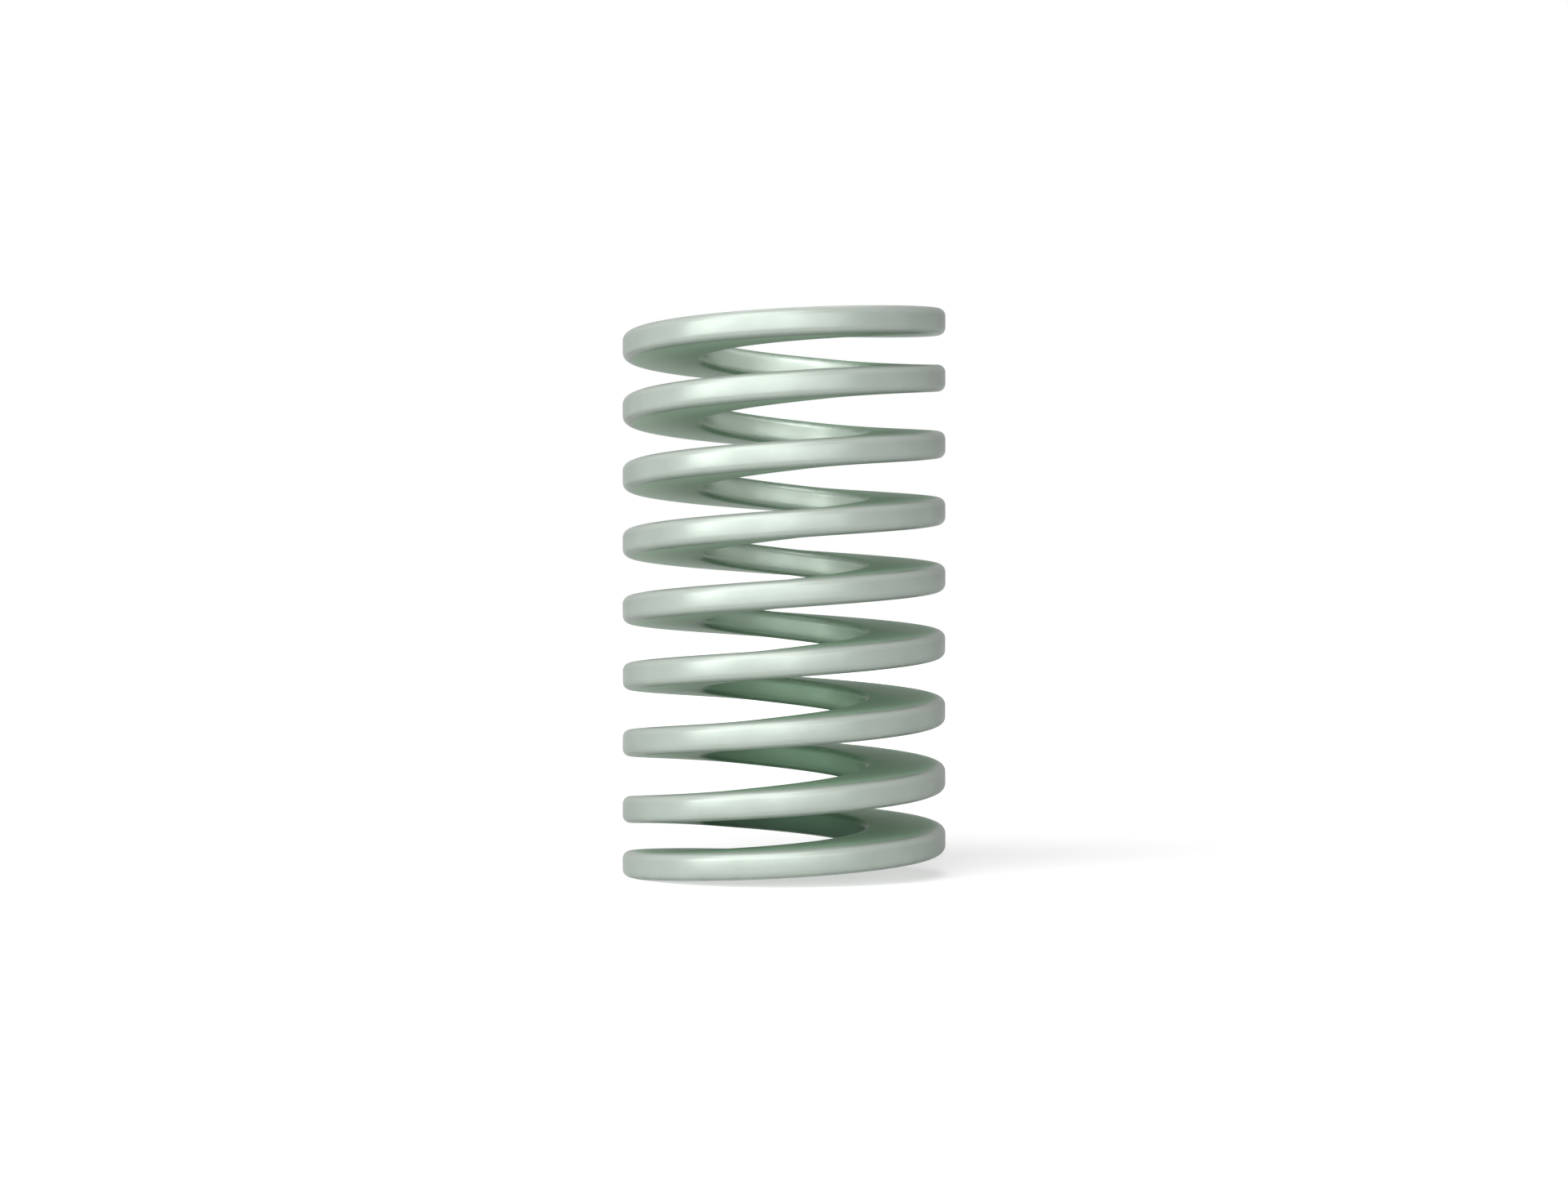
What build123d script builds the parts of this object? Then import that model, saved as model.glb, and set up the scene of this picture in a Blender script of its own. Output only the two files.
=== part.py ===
"""Clutch spring: a helical compression spring wound from rectangular wire, with ground ends.

Millimetres, +Z up along the axis of the coil. The origin is on the axis, in the plane of the lower seat.
"""
import os
from math import cos, pi, radians, sin

from build123d import *

# Driving sizes
outside_diameter = 25.0
inside_diameter = 12.4
free_length = 44.0
wire_thickness = 2.1
wire_edge_radius = 0.6

# Winding, in turns of the wire. An end coil is wound closer than the active ones.
active_coils = 7.0
end_coils = 1.0
end_coil_gap = 1.9
pitch_change = 0.3
tip_angle = 110.0
points_per_turn = 16

# Grinding: what is left of the wire's thickness at each tip, and the break on the edges of the seats
tip_thickness = 1.05
seat_edge_break = 0.25

# How far the turned envelope of the ends stands clear of the wire's inner and outer faces
margin = 0.5

# Worked out from the sizes above
outside_radius = outside_diameter / 2
inside_radius = inside_diameter / 2
wire_width = outside_radius - inside_radius
mean_radius = (outside_radius + inside_radius) / 2
edge_radius = min(wire_edge_radius, wire_thickness / 3)
total_coils = active_coils + 2 * end_coils
end_pitch = wire_thickness + end_coil_gap
tip_height = tip_thickness - wire_thickness / 2
active_rise = free_length - 2 * (tip_height + end_pitch * end_coils)
active_pitch = active_rise / active_coils


def centre_height(turn):
    """Height of the wire's centre line, which rises alike from either end."""
    if turn > total_coils / 2:
        return free_length - centre_height(total_coils - turn)
    height = tip_height + end_pitch * turn
    into_change = turn - end_coils + pitch_change / 2
    if into_change <= 0:
        return height
    if into_change < pitch_change:
        return height + (active_pitch - end_pitch) * into_change**2 / (2 * pitch_change)
    return height + (active_pitch - end_pitch) * (turn - end_coils)


def centre_point(turn):
    """Point on the wire's centre line, wound right-hand from the lower tip."""
    angle = radians(tip_angle + 360 * turn)
    return Vector(mean_radius * cos(angle), mean_radius * sin(angle), centre_height(turn))


def centre_direction(turn):
    """Direction of the wire in an end coil."""
    angle = radians(tip_angle + 360 * turn)
    return Vector(-sin(angle), cos(angle), end_pitch / (2 * pi * mean_radius)).normalized()


def outward(turn):
    """Direction from the axis to the wire."""
    angle = radians(tip_angle + 360 * turn)
    return Vector(cos(angle), sin(angle), 0)


with BuildPart() as clutch_spring:
    # The wire is wound: its section follows the centre line from tip to tip
    with BuildLine() as centre_line:
        steps = round(total_coils * points_per_turn)
        Spline(
            [centre_point(total_coils * step / steps) for step in range(steps + 1)],
            tangents=[centre_direction(0), centre_direction(total_coils)],
            tangent_scalars=[1, 1],
        )
    with BuildSketch(Plane(centre_point(0), x_dir=outward(0), z_dir=centre_direction(0))):
        RectangleRounded(wire_width, wire_thickness, edge_radius)
    sweep(path=centre_line.line, is_frenet=True)

    # Both ends are ground flat and square to the axis, and the edges of the seats are broken,
    # which is what a turned envelope leaves of the wire
    with BuildSketch(Plane.XZ):
        with BuildLine():
            Polyline(
                (inside_radius - margin, seat_edge_break + margin),
                (inside_radius + seat_edge_break, 0),
                (outside_radius - seat_edge_break, 0),
                (outside_radius + margin, seat_edge_break + margin),
                (outside_radius + margin, free_length - seat_edge_break - margin),
                (outside_radius - seat_edge_break, free_length),
                (inside_radius + seat_edge_break, free_length),
                (inside_radius - margin, free_length - seat_edge_break - margin),
                close=True,
            )
        make_face()
    revolve(axis=Axis.Z, mode=Mode.INTERSECT)

clutch_spring.part.label = "clutch_spring"
os.makedirs("parts", exist_ok=True)
export_step(clutch_spring.part, "parts/clutch_spring.step")
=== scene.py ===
"""Clutch spring in green pearl lacquer, on a pale studio floor.

Metres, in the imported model's frame: +Z up along the axis of the coil, the camera on the -Y side.
"""
from math import cos, pi, radians, sin

import bmesh
import bpy
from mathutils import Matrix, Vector


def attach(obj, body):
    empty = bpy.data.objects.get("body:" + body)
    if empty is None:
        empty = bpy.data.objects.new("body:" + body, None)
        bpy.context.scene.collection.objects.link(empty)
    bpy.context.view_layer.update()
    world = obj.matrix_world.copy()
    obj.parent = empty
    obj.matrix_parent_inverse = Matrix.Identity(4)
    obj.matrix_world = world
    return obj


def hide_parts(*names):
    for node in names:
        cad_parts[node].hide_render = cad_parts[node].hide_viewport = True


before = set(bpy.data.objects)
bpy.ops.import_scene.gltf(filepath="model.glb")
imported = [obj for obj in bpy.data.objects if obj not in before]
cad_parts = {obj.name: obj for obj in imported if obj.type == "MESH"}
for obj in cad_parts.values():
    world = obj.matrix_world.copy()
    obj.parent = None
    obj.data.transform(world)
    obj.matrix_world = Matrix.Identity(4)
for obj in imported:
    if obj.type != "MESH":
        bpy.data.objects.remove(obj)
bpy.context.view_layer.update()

MM = 0.001

# The spring as wound and ground
OUTSIDE_RADIUS = 12.5 * MM
INSIDE_RADIUS = 6.2 * MM
FREE_LENGTH = 44.0 * MM
WIRE_THICKNESS = 2.1 * MM
WIRE_EDGE_RADIUS = 0.6 * MM
ACTIVE_COILS = 7.0
END_COILS = 1.0
END_PITCH = 4.0 * MM
PITCH_CHANGE = 0.3
TIP_ANGLE = radians(110)
SEAT_EDGE_BREAK = 0.25 * MM

TOTAL_COILS = ACTIVE_COILS + 2 * END_COILS
MEAN_RADIUS = (OUTSIDE_RADIUS + INSIDE_RADIUS) / 2
WIRE_WIDTH = OUTSIDE_RADIUS - INSIDE_RADIUS
ACTIVE_PITCH = (FREE_LENGTH - 2 * END_PITCH * END_COILS) / ACTIVE_COILS
WIRE_LENGTH = 2 * pi * MEAN_RADIUS * TOTAL_COILS

# How finely the wire is divided, along it and round its section
ROWS_PER_TURN = 120
EDGE_STEPS = 6
WIDE_FACE_STEPS = 6
NARROW_FACE_STEPS = 2
SHARP_EDGE = radians(30)

# Points nearer together than this are one point, and a face nearer a seat's plane than this lies in it
SAME_POINT = 0.001 * MM
SAME_PLANE = 0.0001 * MM

# The mesh's map, which runs along the wire and round its section, both in metres
WIRE_MAP = "along_and_round"

# The photograph's view
CAMERA_DISTANCE = 248.9 * MM
CAMERA_HEIGHT = 22.12 * MM
CAMERA_LENS = 73.71
SENSOR_WIDTH = 36.0


def linear(hex_colour):
    """sRGB hex to linear RGBA."""
    parts = [int(hex_colour[i:i + 2], 16) / 255 for i in (1, 3, 5)]
    return [c / 12.92 if c <= 0.04045 else ((c + 0.055) / 1.055) ** 2.4 for c in parts] + [1.0]


def add(tree, kind, settings=None, inputs=None):
    """A node with its settings, and each input set to a value or linked from another node's output.

    Another node given as a whole stands for its first output in use.
    """
    node = tree.nodes.new(kind)
    for name, value in (settings or {}).items():
        setattr(node, name, value)
    for name, value in (inputs or {}).items():
        if isinstance(value, bpy.types.Node):
            value = next(output for output in value.outputs if output.enabled)
        if isinstance(value, bpy.types.NodeSocket):
            tree.links.new(value, node.inputs[name])
        else:
            node.inputs[name].default_value = value
    return node


def new_material(name):
    """An empty node material and its tree."""
    material = bpy.data.materials.new(name)
    material.use_nodes = True
    material.node_tree.nodes.clear()
    return material, material.node_tree


# The wire

def centre_height(turn):
    """Height of the wire's centre line, which rises alike from either end."""
    if turn > TOTAL_COILS / 2:
        return FREE_LENGTH - centre_height(TOTAL_COILS - turn)
    into_change = turn - END_COILS + PITCH_CHANGE / 2
    if into_change <= 0:
        extra = 0
    elif into_change < PITCH_CHANGE:
        extra = into_change**2 / (2 * PITCH_CHANGE)
    else:
        extra = turn - END_COILS
    return END_PITCH * turn + (ACTIVE_PITCH - END_PITCH) * extra


def on_rounded_edge(out, up, degrees):
    """Point on one of the wire's rounded edges, whose centre lies at (out, up) from the wire's own."""
    angle = radians(degrees)
    return Vector((out + WIRE_EDGE_RADIUS * cos(angle), up + WIRE_EDGE_RADIUS * sin(angle)))


def wire_section():
    """Points round the wire's rounded rectangle, as (outward, up) from its centre."""
    out = WIRE_WIDTH / 2 - WIRE_EDGE_RADIUS
    up = WIRE_THICKNESS / 2 - WIRE_EDGE_RADIUS
    edges = (
        (out, up, 0, WIDE_FACE_STEPS),
        (-out, up, 90, NARROW_FACE_STEPS),
        (-out, -up, 180, WIDE_FACE_STEPS),
        (out, -up, 270, NARROW_FACE_STEPS),
    )
    points = []
    for index, (x, y, start, face_steps) in enumerate(edges):
        for step in range(EDGE_STEPS + 1):
            points.append(on_rounded_edge(x, y, start + 90 * step / EDGE_STEPS))
        next_x, next_y, next_start, _ = edges[(index + 1) % len(edges)]
        face_start = points[-1]
        face_end = on_rounded_edge(next_x, next_y, next_start)
        points += [face_start.lerp(face_end, step / face_steps) for step in range(1, face_steps)]
    return points


def seat_depth(radius):
    """How far the ground end stands back from the seat's plane: nothing, but at its broken edges."""
    return max(0, radius - OUTSIDE_RADIUS + SEAT_EDGE_BREAK, INSIDE_RADIUS + SEAT_EDGE_BREAK - radius)


def wound_ring(mesh, section, turn):
    """The section's points at one turn of the helix, none of them past the ground ends."""
    angle = TIP_ANGLE + 2 * pi * turn
    height = centre_height(turn)
    ring = []
    for out, up in section:
        radius = MEAN_RADIUS + out
        low = seat_depth(radius)
        z = min(max(height + up, low), FREE_LENGTH - low)
        ring.append(mesh.verts.new((radius * cos(angle), radius * sin(angle), z)))
    return ring


def cover_rings(mesh, wire_map, rings, section):
    """Faces from ring to ring and over both tips, with their places on the map."""
    count = len(section)
    round_section = [0.0]
    for i in range(count):
        round_section.append(round_section[-1] + (section[(i + 1) % count] - section[i]).length)
    rows = len(rings) - 1
    row_length = WIRE_LENGTH / rows
    for row in range(rows):
        for i in range(count):
            j = (i + 1) % count
            corners = (
                (rings[row][i], row, i), (rings[row][j], row, i + 1),
                (rings[row + 1][j], row + 1, i + 1), (rings[row + 1][i], row + 1, i),
            )
            face = mesh.faces.new([vertex for vertex, _, _ in corners])
            for loop, (_, along, around) in zip(face.loops, corners):
                loop[wire_map].uv = (along * row_length, round_section[around])
    for ring, along in ((rings[0], 0.0), (rings[-1], WIRE_LENGTH)):
        for loop in mesh.faces.new(ring).loops:
            loop[wire_map].uv = (along, 0.0)


def finish_faces(mesh):
    """Smooth faces that meet in sharp edges, and the second material on the two ground seats."""
    for face in mesh.faces:
        face.smooth = True
        heights = [vertex.co.z for vertex in face.verts]
        on_seat = max(heights) < SAME_PLANE or min(heights) > FREE_LENGTH - SAME_PLANE
        face.material_index = 1 if on_seat else 0
    for edge in mesh.edges:
        edge.smooth = edge.calc_face_angle(0) < SHARP_EDGE


def wind_spring():
    """The wire's section swept along the helix, then ground flat at both ends."""
    section = wire_section()
    rows = round(TOTAL_COILS * ROWS_PER_TURN)
    mesh = bmesh.new()
    wire_map = mesh.loops.layers.uv.new(WIRE_MAP)
    rings = [wound_ring(mesh, section, TOTAL_COILS * row / rows) for row in range(rows + 1)]
    cover_rings(mesh, wire_map, rings, section)
    bmesh.ops.remove_doubles(mesh, verts=mesh.verts, dist=SAME_POINT)
    bmesh.ops.recalc_face_normals(mesh, faces=mesh.faces)
    finish_faces(mesh)
    data = bpy.data.meshes.new("wound_wire")
    mesh.to_mesh(data)
    mesh.free()
    spring = bpy.data.objects.new("wound_wire", data)
    bpy.context.scene.collection.objects.link(spring)
    return spring


# The section's own marks, as distances round it from the top of the outer face
EDGE_ARC = WIRE_EDGE_RADIUS * pi / 2
NARROW_FACE = WIRE_THICKNESS - 2 * WIRE_EDGE_RADIUS
WIDE_FACE = WIRE_WIDTH - 2 * WIRE_EDGE_RADIUS
UPPER_OUTER_EDGE = EDGE_ARC / 2
UPPER_FACE = EDGE_ARC + WIDE_FACE / 2
UPPER_INNER_EDGE = EDGE_ARC * 1.5 + WIDE_FACE
LOWER_INNER_EDGE = EDGE_ARC * 2.5 + WIDE_FACE + NARROW_FACE
LOWER_FACE = EDGE_ARC * 3 + WIDE_FACE * 1.5 + NARROW_FACE
LOWER_OUTER_EDGE = EDGE_ARC * 3.5 + 2 * WIDE_FACE + NARROW_FACE

# Zones of the lacquer: the middle of each, how far from there it is full, and how far beyond that it fades.
# Measured from the axis
OUTER_ZONE = (OUTSIDE_RADIUS, 0.4 * MM, 0.65 * MM)
BORE_ZONE = (INSIDE_RADIUS, 0.04 * MM, 0.46 * MM)
# By height
TOP_END = (FREE_LENGTH, 3.0 * MM, 1.4 * MM)
FOOT_END = (0.0, 3.0 * MM, 1.4 * MM)
UPPER_BORE = (FREE_LENGTH, 14.5 * MM, 29.5 * MM)
# Along the wire
FIRST_TIP = (0.0, 0.0, 0.4 * MM)
LAST_TIP = (WIRE_LENGTH, 0.0, 0.4 * MM)
# Round its section
TOPSIDE = (UPPER_FACE, WIDE_FACE / 2, EDGE_ARC / 2)
UNDERSIDE = (LOWER_FACE, WIDE_FACE / 2, EDGE_ARC / 2)
# Painted highlight band along the upper outer edge
PAINTED_HIGHLIGHT_BAND = (UPPER_OUTER_EDGE, 0.25 * MM, 0.3 * MM)
# Round its section too: lines of painted shade along the edges, each with its share of shade, which takes
# the pearl away there too
PAINTED_EDGE_SHADE_LINES = (
    ((LOWER_OUTER_EDGE, 0.03 * MM, 0.12 * MM), 0.24),
    ((LOWER_INNER_EDGE, 0.03 * MM, 0.14 * MM), 0.4),
    ((UPPER_INNER_EDGE, 0.05 * MM, 0.25 * MM), 0.35),
)

# Colours of the lacquer: the outside's own patches, then painted light and shade. The bore's painted shade
# pales upwards from its foot into painted light, each shade reached between two heights.
OUTSIDE_THIN = "#A6B0A8"
OUTSIDE_THICK = "#ADB7AF"
# Painted highlight along the upper outer edge
PAINTED_HIGHLIGHT_COLOUR = "#B1BAB2"
# Painted shade: greener between the coils
PAINTED_SHADE_BETWEEN_COILS = "#98BC9E"
# Painted shade darkest at the bore's foot, paling upwards to painted light
PAINTED_SHADE_AT_BORE_FOOT = "#66816E"
BORE_PAINTED_SHADE_TO_LIGHT = (
    (3.0 * MM, 8.0 * MM, "#8EAF95"),
    (8.0 * MM, 14.0 * MM, "#9EBBA3"),
    (14.0 * MM, 25.0 * MM, "#D3DFD5"),
)
# Painted shade along the wire's edges
PAINTED_EDGE_SHADE_COLOUR = "#475C4C"

# Pearl: its share in the lacquer, its share of that in the upper bore, and its flakes
PEARL_LEAST = 0.05
PEARL_FULL = 0.31
BORE_PEARL = 0.95
FLAKE_CELL = 0.03 * MM
DULL_CELL = 0.7
BRIGHT_CELL = 1.3

# The film: its patches, the ragged edges of the painted edge shade, and the part of each noise's range that
# they lie in
PATCH_SIZE = 3.0 * MM
PATCH_NOISE = (0.3, 0.7)
RAGGED_SIZE = 0.5 * MM
RAGGED_NOISE = (0.35, 0.65)
RAGGED_LEAST = 0.55

# The film's surface. The peel's height is the noise's whole range, and it seldom leaves the middle third.
SATIN_THIN = 0.34
SATIN_THICK = 0.3
DRY_UNDERSIDE = 0.37
DRY_TOPSIDE = 0.45
PEEL_SPACING = 0.7 * MM
PEEL_HEIGHT = 0.006 * MM

# The grinding marks under it
MARK_SPACING = 0.2 * MM
MARK_LENGTH = 12.0 * MM
MARK_DEPTH = 0.02 * MM
MARK_DIRECTION = radians(20)

# The clear binder's gloss, and how pearl darkens at a glancing view, because its flakes lie flat
BINDER_IOR = 1.5
BINDER_GLOSS = 0.1
GLANCING_PEARL = "#8A8A8A"

COLOUR_MIX = {"data_type": "RGBA"}
SOFT_RANGE = {"interpolation_type": "SMOOTHSTEP"}


def near(tree, position, zone):
    """1 where the position is in the zone, falling softly to 0 where the zone ends."""
    place, reach, fade = zone
    offset = add(tree, "ShaderNodeMath", {"operation": "SUBTRACT"}, {0: position, 1: place})
    away = add(tree, "ShaderNodeMath", {"operation": "ABSOLUTE"}, {0: offset})
    return add(tree, "ShaderNodeMapRange", SOFT_RANGE, {
        "Value": away, "From Min": reach, "From Max": reach + fade, "To Min": 1.0, "To Max": 0.0,
    })


def wire_places(tree):
    """A point's place, distance from the axis and height, and how far along and round the wire it lies."""
    place = add(tree, "ShaderNodeTexCoord").outputs["Object"]
    spot = add(tree, "ShaderNodeSeparateXYZ", {}, {0: place})
    flat_place = add(tree, "ShaderNodeCombineXYZ", {}, {0: spot.outputs["X"], 1: spot.outputs["Y"]})
    from_axis = add(tree, "ShaderNodeVectorMath", {"operation": "LENGTH"}, {0: flat_place})
    wire_map = add(tree, "ShaderNodeUVMap", {"uv_map": WIRE_MAP})
    on_wire = add(tree, "ShaderNodeSeparateXYZ", {}, {0: wire_map})
    return place, from_axis, spot.outputs["Z"], on_wire.outputs["X"], on_wire.outputs["Y"]


def exposed_faces(tree, from_axis, height, along, around):
    """1 where the gun sprays fully and the light falls openly: the outer face, the free faces at both ends
    and the wire's two tips; elsewhere the colour is painted shade.
    """
    free_faces = [
        add(tree, "ShaderNodeMath", {"operation": "MULTIPLY"}, {
            0: near(tree, around, side), 1: near(tree, height, end),
        })
        for side, end in ((TOPSIDE, TOP_END), (UNDERSIDE, FOOT_END))
    ]
    tips = [near(tree, along, tip) for tip in (FIRST_TIP, LAST_TIP)]
    exposed = near(tree, from_axis, OUTER_ZONE)
    for part in free_faces + tips:
        exposed = add(tree, "ShaderNodeMath", {"operation": "MAXIMUM"}, {0: exposed, 1: part})
    return exposed


def pearl_share(tree, place, height, exposed, bore):
    """How silvery the lacquer is: most where the gun reaches, less down the bore, least between the coils.

    Each cell of the pattern is a few flakes together, 0.03 mm across, and in some cells more of them lie so
    that they catch the light.
    """
    upper_bore = add(tree, "ShaderNodeMath", {"operation": "MULTIPLY"}, {
        0: bore, 1: near(tree, height, UPPER_BORE),
    })
    sprayed = add(tree, "ShaderNodeMath", {"operation": "MULTIPLY_ADD"}, {
        0: upper_bore, 1: BORE_PEARL, 2: exposed,
    })
    pearl = add(tree, "ShaderNodeMapRange", {}, {
        "Value": sprayed, "To Min": PEARL_LEAST, "To Max": PEARL_FULL,
    })
    flakes = add(tree, "ShaderNodeTexVoronoi", {}, {"Vector": place, "Scale": 1 / FLAKE_CELL})
    cell = add(tree, "ShaderNodeSeparateColor", {}, {0: flakes.outputs["Color"]})
    catches = add(tree, "ShaderNodeMapRange", {}, {
        "Value": cell, "To Min": DULL_CELL, "To Max": BRIGHT_CELL,
    })
    return add(tree, "ShaderNodeMath", {"operation": "MULTIPLY"}, {0: catches, 1: pearl})


def film_thickness(tree, place):
    """0 to 1 from thin to thick film, in patches of some 3 mm."""
    thinnest, thickest = PATCH_NOISE
    patches = add(tree, "ShaderNodeTexNoise", {}, {
        "Vector": place, "Scale": 1 / PATCH_SIZE, "Detail": 3.0, "Roughness": 0.55,
    })
    return add(tree, "ShaderNodeMapRange", {}, {
        "Value": patches, "From Min": thinnest, "From Max": thickest,
    })


def painted_edge_shade(tree, place, around):
    """Painted shade along the wire's edges, in ragged lines, darkest along the lower inner edge."""
    lines = 0.0
    for line, share in PAINTED_EDGE_SHADE_LINES:
        lines = add(tree, "ShaderNodeMath", {"operation": "MULTIPLY_ADD"}, {
            0: near(tree, around, line), 1: share, 2: lines,
        })
    least, most = RAGGED_NOISE
    noise = add(tree, "ShaderNodeTexNoise", {}, {"Vector": place, "Scale": 1 / RAGGED_SIZE, "Detail": 2.0})
    ragged = add(tree, "ShaderNodeMapRange", {}, {
        "Value": noise, "From Min": least, "From Max": most, "To Min": RAGGED_LEAST,
    })
    return add(tree, "ShaderNodeMath", {"operation": "MULTIPLY", "use_clamp": True}, {0: lines, 1: ragged})


def colour_with_painted_light(tree, height, around, film, exposed, bore):
    """Pale outside with a painted highlight on the upper outer edge, greener painted shade between the
    coils, and down the bore painted shade at the foot paling to painted light at the top.
    """
    outside = add(tree, "ShaderNodeMix", COLOUR_MIX, {
        "Factor": film, "A": linear(OUTSIDE_THIN), "B": linear(OUTSIDE_THICK),
    })
    # Painted highlight: the upper outer edge a little paler, where the light from above falls on it
    with_painted_highlight = add(tree, "ShaderNodeMix", COLOUR_MIX, {
        "Factor": near(tree, around, PAINTED_HIGHLIGHT_BAND), "A": outside, "B": linear(PAINTED_HIGHLIGHT_COLOUR),
    })
    # Down the bore, painted shade at the foot paling upwards to painted light
    bore_painted_shade = linear(PAINTED_SHADE_AT_BORE_FOOT)
    for start, end, shade in BORE_PAINTED_SHADE_TO_LIGHT:
        share = add(tree, "ShaderNodeMapRange", {}, {"Value": height, "From Min": start, "From Max": end})
        bore_painted_shade = add(tree, "ShaderNodeMix", COLOUR_MIX, {"Factor": share, "A": bore_painted_shade, "B": linear(shade)})
    # Painted shade between the coils, and down the bore
    painted_shade_parts = add(tree, "ShaderNodeMix", COLOUR_MIX, {
        "Factor": bore, "A": linear(PAINTED_SHADE_BETWEEN_COILS), "B": bore_painted_shade,
    })
    return add(tree, "ShaderNodeMix", COLOUR_MIX, {"Factor": exposed, "A": painted_shade_parts, "B": with_painted_highlight})


def film_roughness(tree, around, film, exposed, bore):
    """Satin, but rougher between the coils, where the spray lands dry, most on the wire's upper side."""
    dry = add(tree, "ShaderNodeMapRange", {}, {
        "Value": near(tree, around, TOPSIDE), "To Min": DRY_UNDERSIDE, "To Max": DRY_TOPSIDE,
    })
    satin = add(tree, "ShaderNodeMapRange", {}, {
        "Value": film, "To Min": SATIN_THIN, "To Max": SATIN_THICK,
    })
    wet = add(tree, "ShaderNodeMath", {"operation": "MAXIMUM"}, {0: exposed, 1: bore})
    return add(tree, "ShaderNodeMapRange", {}, {"Value": wet, "To Min": dry, "To Max": satin})


def film_surface(tree, place, ground):
    """Orange peel, the sprayed film's faint waviness, 0.7 mm from crest to crest and some 2 microns high.

    A seat has grinding marks under the film, 0.05 mm apart in the steel, but drawn at 0.2 mm so that they
    show.
    """
    peel = add(tree, "ShaderNodeTexNoise", {}, {"Vector": place, "Scale": 1 / PEEL_SPACING, "Detail": 1.0})
    surface = add(tree, "ShaderNodeBump", {}, {"Strength": 1.0, "Distance": PEEL_HEIGHT, "Height": peel})
    if ground:
        marks = add(tree, "ShaderNodeMapping", {}, {
            "Vector": place, "Rotation": (0, 0, MARK_DIRECTION),
            "Scale": (1 / MARK_SPACING, 1 / MARK_LENGTH, 1 / MARK_LENGTH),
        })
        scratches = add(tree, "ShaderNodeTexNoise", {}, {"Vector": marks, "Scale": 1.0, "Detail": 2.0})
        surface = add(tree, "ShaderNodeBump", {}, {
            "Strength": 1.0, "Distance": MARK_DEPTH, "Height": scratches, "Normal": surface,
        })
    return surface


def pearl_lacquer(name, ground=False):
    """Green pearl lacquer sprayed over spring steel, in a satin film.

    Fine silvery flakes lie in a green body colour. Where the light strikes, the flakes make the wire look
    pale and metallic, and in the shade the green of the body comes through. The gun sprays from outside and
    from above, so the pearl is full on the outside, at both ends and at the upper end of the bore. The
    colour
    holds painted light and shade: greener painted shade between the coils, painted shade down the bore
    paling to painted light at its top, lines of painted shade along the edges and a painted highlight on the
    upper outer edge.
    """
    material, tree = new_material(name)
    place, from_axis, height, along, around = wire_places(tree)
    exposed = exposed_faces(tree, from_axis, height, along, around)
    bore = near(tree, from_axis, BORE_ZONE)
    film = film_thickness(tree, place)
    edge_shade_share = painted_edge_shade(tree, place, around)
    away_from_edge_shade = add(tree, "ShaderNodeMath", {"operation": "SUBTRACT"}, {0: 1.0, 1: edge_shade_share})
    silver = add(tree, "ShaderNodeMath", {"operation": "MULTIPLY"}, {
        0: pearl_share(tree, place, height, exposed, bore), 1: away_from_edge_shade,
    })
    # Dark lines of painted shade along the edges
    colour = add(tree, "ShaderNodeMix", COLOUR_MIX, {
        "Factor": edge_shade_share, "A": colour_with_painted_light(tree, height, around, film, exposed, bore),
        "B": linear(PAINTED_EDGE_SHADE_COLOUR),
    })
    shader = add(tree, "ShaderNodeBsdfPrincipled", {}, {
        "Base Color": colour,
        "Metallic": silver,
        "Roughness": film_roughness(tree, around, film, exposed, bore),
        "IOR": BINDER_IOR,
        "Specular IOR Level": BINDER_GLOSS,
        "Specular Tint": linear(GLANCING_PEARL),
        "Normal": film_surface(tree, place, ground),
    })
    add(tree, "ShaderNodeOutputMaterial", {}, {"Surface": shader})
    return material


spring = wind_spring()
spring.data.materials.append(pearl_lacquer("sprayed_green_pearl_lacquer"))
spring.data.materials.append(pearl_lacquer("green_pearl_lacquer_over_ground_steel", ground=True))
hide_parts("clutch_spring")
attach(spring, "root")


# The studio

WHITE = (1, 1, 1, 1)
FLOOR_SIZE = 6.0
BOARD_WHITE = "#EDEDEC"

# The board's own white rises outwards from the spring's shadow to the backdrop's white
SHADOW_REACH = 0.04
BOARD_END = 0.5
BOARD_LEAST = 0.55
BACKDROP_WHITE = 1.0
ROOM_LIGHT = 0.02

# Softboxes, all at one distance from the spring's middle: name, azimuth and elevation in degrees, width and
# height in metres, and power in watts. Azimuth 0 is above the camera, and positive is to the right.
LAMP_DISTANCE = 1.4
SOFTBOXES = (
    ("overhead_softbox", -28, 44, 1.6, 1.3, 15.5),
    ("left_softbox", -56, 9, 0.7, 0.5, 5.5),
    ("middle_softbox", -29, 9, 0.7, 0.5, 3.0),
    ("front_softbox", 0, 9, 0.7, 0.5, 4.2),
    ("right_softbox", 28, 9, 0.7, 0.5, 2.2),
    ("back_softbox", 180, 58, 0.8, 0.6, 3.0),
)


def seen_directly(tree):
    """1 for what the camera sees, also by reflection or through glass, and 0 for the light on the object."""
    path = add(tree, "ShaderNodeLightPath")
    seen = path.outputs["Is Camera Ray"]
    for ray in ("Is Glossy Ray", "Is Transmission Ray"):
        seen = add(tree, "ShaderNodeMath", {"operation": "MAXIMUM"}, {0: seen, 1: path.outputs[ray]})
    return seen


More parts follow.
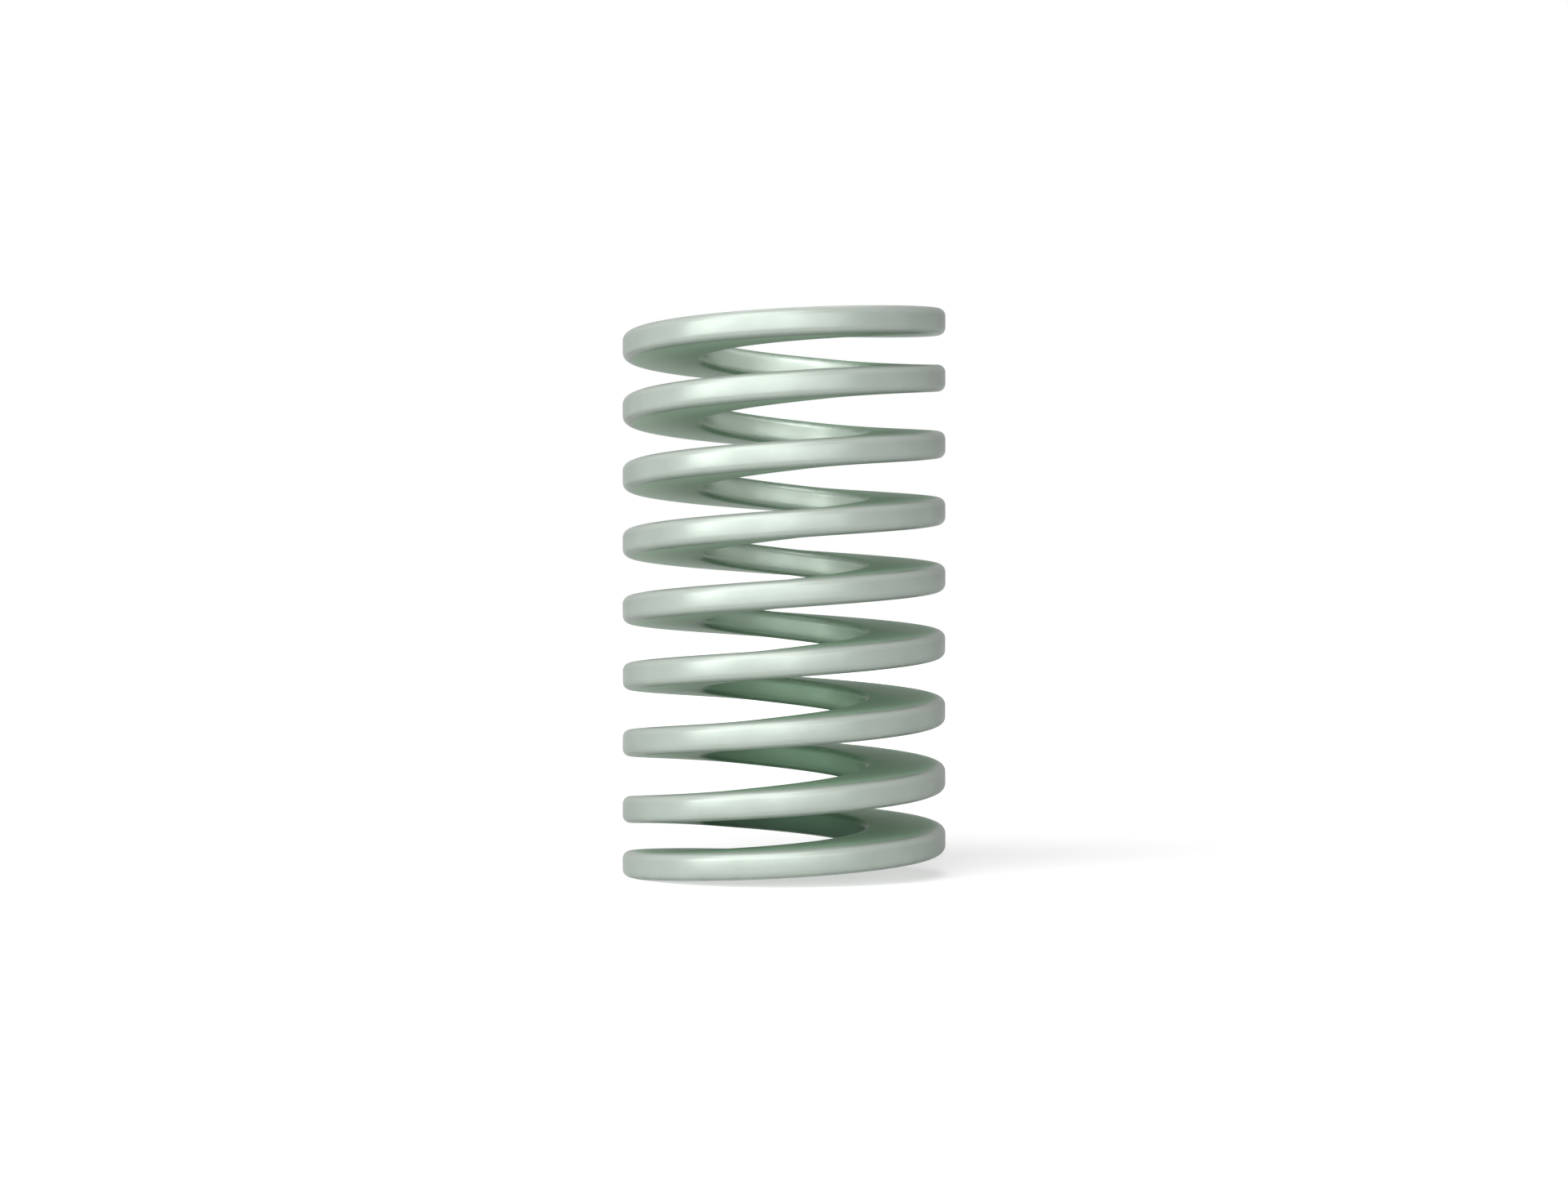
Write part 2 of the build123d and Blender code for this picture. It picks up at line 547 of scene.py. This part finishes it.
def matt_white_board():
    """Matt white board, which runs out to the white backdrop and keeps the spring's soft shadow."""
    material, tree = new_material("matt_white_board")
    place = add(tree, "ShaderNodeTexCoord").outputs["Object"]
    away = add(tree, "ShaderNodeVectorMath", {"operation": "LENGTH"}, {0: place})
    lift = add(tree, "ShaderNodeMapRange", SOFT_RANGE, {
        "Value": away, "From Min": SHADOW_REACH, "From Max": BOARD_END,
        "To Min": BOARD_LEAST, "To Max": BACKDROP_WHITE,
    })
    strength = add(tree, "ShaderNodeMath", {"operation": "MULTIPLY"}, {0: lift, 1: seen_directly(tree)})
    board = add(tree, "ShaderNodeBsdfDiffuse", {}, {"Color": linear(BOARD_WHITE)})
    white = add(tree, "ShaderNodeEmission", {}, {"Color": WHITE, "Strength": strength})
    both = add(tree, "ShaderNodeAddShader", {}, {0: board, 1: white})
    add(tree, "ShaderNodeOutputMaterial", {}, {"Surface": both})
    return material


def studio_world():
    """A white backdrop to look at, which gives the object only the room's faint light."""
    world = bpy.data.worlds.new("studio")
    world.use_nodes = True
    tree = world.node_tree
    tree.nodes.clear()
    room = add(tree, "ShaderNodeBackground", {}, {"Color": WHITE, "Strength": ROOM_LIGHT})
    backdrop = add(tree, "ShaderNodeBackground", {}, {"Color": WHITE, "Strength": BACKDROP_WHITE})
    mix = add(tree, "ShaderNodeMixShader", {}, {0: seen_directly(tree), 1: room, 2: backdrop})
    add(tree, "ShaderNodeOutputWorld", {}, {"Surface": mix})
    return world


def softbox(name, azimuth, elevation, width, height, power):
    """A soft lamp aimed at the spring's middle."""
    lamp = bpy.data.lights.new(name, "AREA")
    lamp.shape = "RECTANGLE"
    lamp.size = width
    lamp.size_y = height
    lamp.energy = power
    turn = radians(azimuth)
    rise = radians(elevation)
    back = Vector((sin(turn) * cos(rise), -cos(turn) * cos(rise), sin(rise)))
    holder = bpy.data.objects.new(name, lamp)
    holder.location = Vector((0, 0, FREE_LENGTH / 2)) + back * LAMP_DISTANCE
    holder.rotation_mode = "QUATERNION"
    holder.rotation_quaternion = (-back).to_track_quat("-Z", "Y")
    bpy.context.scene.collection.objects.link(holder)


bpy.ops.mesh.primitive_plane_add(size=FLOOR_SIZE, location=(0, 0, 0))
floor = bpy.context.object
floor.name = "studio_floor"
floor.data.materials.append(matt_white_board())

bpy.context.scene.world = studio_world()
for box in SOFTBOXES:
    softbox(*box)

camera_data = bpy.data.cameras.new("camera")
camera_data.sensor_width = SENSOR_WIDTH
camera_data.lens = CAMERA_LENS
camera = bpy.data.objects.new("camera", camera_data)
camera.location = (0, -CAMERA_DISTANCE, CAMERA_HEIGHT)
camera.rotation_euler = (radians(90), 0, 0)
bpy.context.scene.collection.objects.link(camera)
bpy.context.scene.camera = camera

bpy.context.scene.view_settings.view_transform = "Standard"
